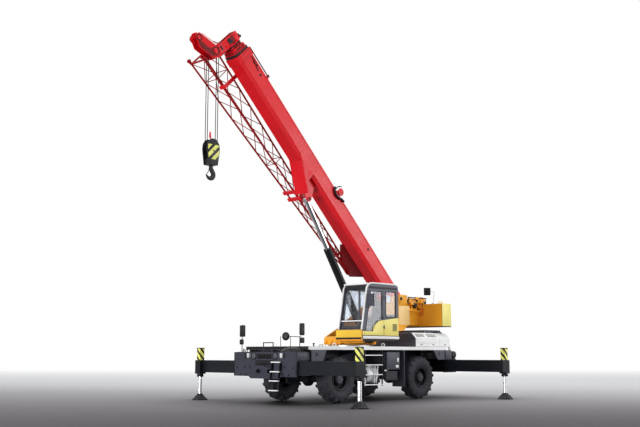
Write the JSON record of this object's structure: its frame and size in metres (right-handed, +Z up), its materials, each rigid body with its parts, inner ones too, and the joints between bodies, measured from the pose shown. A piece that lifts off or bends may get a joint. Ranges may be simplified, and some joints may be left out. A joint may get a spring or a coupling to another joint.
{
  "type": "rough-terrain mobile crane",
  "caption": "Two-axle rough-terrain crane on outriggers, with a slewing cab and counterweight, a telescopic boom, a stowed lattice jib and a hook block.",
  "frame": {"origin": "on the ground under the middle of the slewing ring, midway between the axles", "axes": "+X forward, +Y to the left, +Z up"},
  "size_m": [11.611, 7.85, 11.7683],
  "materials": {
    "chassis_dark": "satin dark slate grey paint",
    "skirt_grey": "satin grey paint",
    "deck_white": "glossy white paint",
    "cover_grey": "grey paint",
    "lamp": "clear lamp lenses",
    "mirror_black": "black plastic housings",
    "knuckle_dark": "painted casting",
    "rim_dark": "satin dark grey paint",
    "tyre": "matt black rubber",
    "beam_dark": "satin dark slate grey paint with yellow and black stripes",
    "jack_chrome": "hard chrome rod, dark float",
    "body_yellow": "glossy orange yellow paint",
    "cab_grey": "satin grey and light yellow paint",
    "cab_glass": "tinted glass",
    "seat_black": "dark seat cloth",
    "boom_red": "glossy red paint",
    "cylinder_black": "glossy black paint",
    "rod_chrome": "hard chrome",
    "wire_rope": "greased wire rope",
    "hook_black": "black paint, yellow and black stripes on the cheeks"
  },
  "bodies": {
    "carrier": {"chassis": "chassis_dark", "deck": "deck_white", "side_skirts": "skirt_grey", "engine_hood": "deck_white", "muffler_cover": "cover_grey", "engine_block": "cover_grey", "front_bumper": "chassis_dark", "lamps": "lamp", "lockers": "skirt_grey", "steps_and_rails": "chassis_dark", "road_mirrors": "mirror_black", "slewing_ring": "chassis_dark", "outrigger_casing_front": "chassis_dark", "outrigger_casing_rear": "chassis_dark", "axle_front": "chassis_dark", "axle_rear": "chassis_dark"},
    "turntable": {"turntable": "body_yellow", "counterweight": "body_yellow", "winches": "body_yellow", "cab_shell": "cab_grey", "cab_glass": "cab_glass", "cab_interior": "seat_black"},
    "cab_door": {"cab_door": "cab_grey", "cab_door_glass": "cab_glass"},
    "lift_barrel": {"lift_barrel": "cylinder_black"},
    "lift_rod": {"lift_rod": "rod_chrome"},
    "boom_base": {"boom_base": "boom_red", "lattice_jib": "boom_red", "jib_brackets": "boom_red"},
    "boom_section_2": {"boom_section_2": "boom_red"},
    "boom_section_3": {"boom_section_3": "boom_red"},
    "boom_head": {"boom_head": "boom_red"},
    "rope_falls": {"hoist_ropes": "wire_rope"},
    "hook_block": {"hook_block": "hook_black"},
    "hook": {"hook": "hook_black"},
    "knuckle_front_left": {"knuckle_front_left": "knuckle_dark"},
    "wheel_front_left": {"rim_front_left": "rim_dark", "tyre_front_left": "tyre"},
    "knuckle_front_right": {"knuckle_front_right": "knuckle_dark"},
    "wheel_front_right": {"rim_front_right": "rim_dark", "tyre_front_right": "tyre"},
    "knuckle_rear_left": {"knuckle_rear_left": "knuckle_dark"},
    "wheel_rear_left": {"rim_rear_left": "rim_dark", "tyre_rear_left": "tyre"},
    "knuckle_rear_right": {"knuckle_rear_right": "knuckle_dark"},
    "wheel_rear_right": {"rim_rear_right": "rim_dark", "tyre_rear_right": "tyre"},
    "outrigger_beam_front_left": {"outrigger_beam_front_left": "beam_dark"},
    "outrigger_jack_front_left": {"outrigger_jack_front_left": "jack_chrome"},
    "outrigger_beam_front_right": {"outrigger_beam_front_right": "beam_dark"},
    "outrigger_jack_front_right": {"outrigger_jack_front_right": "jack_chrome"},
    "outrigger_beam_rear_left": {"outrigger_beam_rear_left": "beam_dark"},
    "outrigger_jack_rear_left": {"outrigger_jack_rear_left": "jack_chrome"},
    "outrigger_beam_rear_right": {"outrigger_beam_rear_right": "beam_dark"},
    "outrigger_jack_rear_right": {"outrigger_jack_rear_right": "jack_chrome"}
  },
  "joints": [
    {"name": "slew", "type": "hinge", "parent": "carrier", "child": "turntable", "pos_m": [0, 0, 1.87], "axis": [0, 0, 1], "continuous": true},
    {"name": "cab_door_hinge", "type": "hinge", "parent": "turntable", "child": "cab_door", "pos_m": [-0.1, 1.465, 2.95], "axis": [0, 0, 1], "range_deg": [0, 120]},
    {"name": "boom_luff", "type": "hinge", "parent": "turntable", "child": "boom_base", "pos_m": [-2.319, 0, 3.551], "axis": [0, -1, 0], "range_deg": [-45, 32]},
    {"name": "lift_barrel_pivot", "type": "hinge", "parent": "turntable", "child": "lift_barrel", "pos_m": [-0.76, 0, 2.15], "axis": [0, -1, 0], "range_deg": [-44.3, 31.5]},
    {"name": "lift_rod_slide", "type": "slide", "parent": "lift_barrel", "child": "lift_rod", "axis": [0.5434, 0, 0.8395], "range_m": [-1.53, 1.09]},
    {"name": "boom_extend", "type": "slide", "parent": "boom_base", "child": "boom_section_2", "axis": [0.7071, 0, 0.7071], "range_m": [0, 7]},
    {"name": "boom_extend_3", "type": "slide", "parent": "boom_section_2", "child": "boom_section_3", "axis": [0.7071, 0, 0.7071], "range_m": [0, 7]},
    {"name": "boom_extend_head", "type": "slide", "parent": "boom_section_3", "child": "boom_head", "axis": [0.7071, 0, 0.7071], "range_m": [0, 7]},
    {"name": "hook_swing", "type": "hinge", "parent": "boom_head", "child": "rope_falls", "pos_m": [6.3572, 0, 10.89784], "axis": [0, 1, 0], "range_deg": [-45, 32]},
    {"name": "hook_hoist", "type": "slide", "parent": "rope_falls", "child": "hook_block", "axis": [0, 0, -1], "range_m": [-2.3, 0], "deforming": ["hoist_ropes"]},
    {"name": "hook_swivel", "type": "hinge", "parent": "hook_block", "child": "hook", "pos_m": [6.3572, 0, 7.28], "axis": [0, 0, 1], "continuous": true},
    {"name": "steer_front_left", "type": "hinge", "parent": "carrier", "child": "knuckle_front_left", "pos_m": [2.09, 0.983, 0.745], "axis": [0, 0, 1], "range_deg": [-25, 25]},
    {"name": "roll_front_left", "type": "hinge", "parent": "knuckle_front_left", "child": "wheel_front_left", "pos_m": [2.09, 1.233, 0.745], "axis": [0, 1, 0], "continuous": true},
    {"name": "steer_front_right", "type": "hinge", "parent": "carrier", "child": "knuckle_front_right", "pos_m": [2.09, -0.983, 0.745], "axis": [0, 0, 1], "range_deg": [-25, 25]},
    {"name": "roll_front_right", "type": "hinge", "parent": "knuckle_front_right", "child": "wheel_front_right", "pos_m": [2.09, -1.233, 0.745], "axis": [0, 1, 0], "continuous": true},
    {"name": "steer_rear_left", "type": "hinge", "parent": "carrier", "child": "knuckle_rear_left", "pos_m": [-2.09, 0.983, 0.745], "axis": [0, 0, -1], "range_deg": [-25, 25]},
    {"name": "roll_rear_left", "type": "hinge", "parent": "knuckle_rear_left", "child": "wheel_rear_left", "pos_m": [-2.09, 1.233, 0.745], "axis": [0, 1, 0], "continuous": true},
    {"name": "steer_rear_right", "type": "hinge", "parent": "carrier", "child": "knuckle_rear_right", "pos_m": [-2.09, -0.983, 0.745], "axis": [0, 0, -1], "range_deg": [-25, 25]},
    {"name": "roll_rear_right", "type": "hinge", "parent": "knuckle_rear_right", "child": "wheel_rear_right", "pos_m": [-2.09, -1.233, 0.745], "axis": [0, 1, 0], "continuous": true},
    {"name": "beam_slide_front_left", "type": "slide", "parent": "carrier", "child": "outrigger_beam_front_left", "axis": [0, 1, 0], "range_m": [-2.16, 0]},
    {"name": "jack_slide_front_left", "type": "slide", "parent": "outrigger_beam_front_left", "child": "outrigger_jack_front_left", "axis": [0, 0, -1], "range_m": [-0.55, 0]},
    {"name": "beam_slide_front_right", "type": "slide", "parent": "carrier", "child": "outrigger_beam_front_right", "axis": [0, -1, 0], "range_m": [-2.16, 0]},
    {"name": "jack_slide_front_right", "type": "slide", "parent": "outrigger_beam_front_right", "child": "outrigger_jack_front_right", "axis": [0, 0, -1], "range_m": [-0.55, 0]},
    {"name": "beam_slide_rear_left", "type": "slide", "parent": "carrier", "child": "outrigger_beam_rear_left", "axis": [0, 1, 0], "range_m": [-2.16, 0]},
    {"name": "jack_slide_rear_left", "type": "slide", "parent": "outrigger_beam_rear_left", "child": "outrigger_jack_rear_left", "axis": [0, 0, -1], "range_m": [-0.55, 0]},
    {"name": "beam_slide_rear_right", "type": "slide", "parent": "carrier", "child": "outrigger_beam_rear_right", "axis": [0, -1, 0], "range_m": [-2.16, 0]},
    {"name": "jack_slide_rear_right", "type": "slide", "parent": "outrigger_beam_rear_right", "child": "outrigger_jack_rear_right", "axis": [0, 0, -1], "range_m": [-0.55, 0]}
  ],
  "couplings": [
    {"joint": "lift_barrel_pivot", "follows": "boom_luff", "ratio": 0.982},
    {"joint": "lift_rod_slide", "follows": "boom_luff", "m_per_rad": 1.9446},
    {"joint": "boom_extend_3", "follows": "boom_extend", "ratio": 1},
    {"joint": "boom_extend_head", "follows": "boom_extend", "ratio": 1},
    {"joint": "steer_front_right", "follows": "steer_front_left", "ratio": 1},
    {"joint": "steer_rear_right", "follows": "steer_rear_left", "ratio": 1}
  ]
}
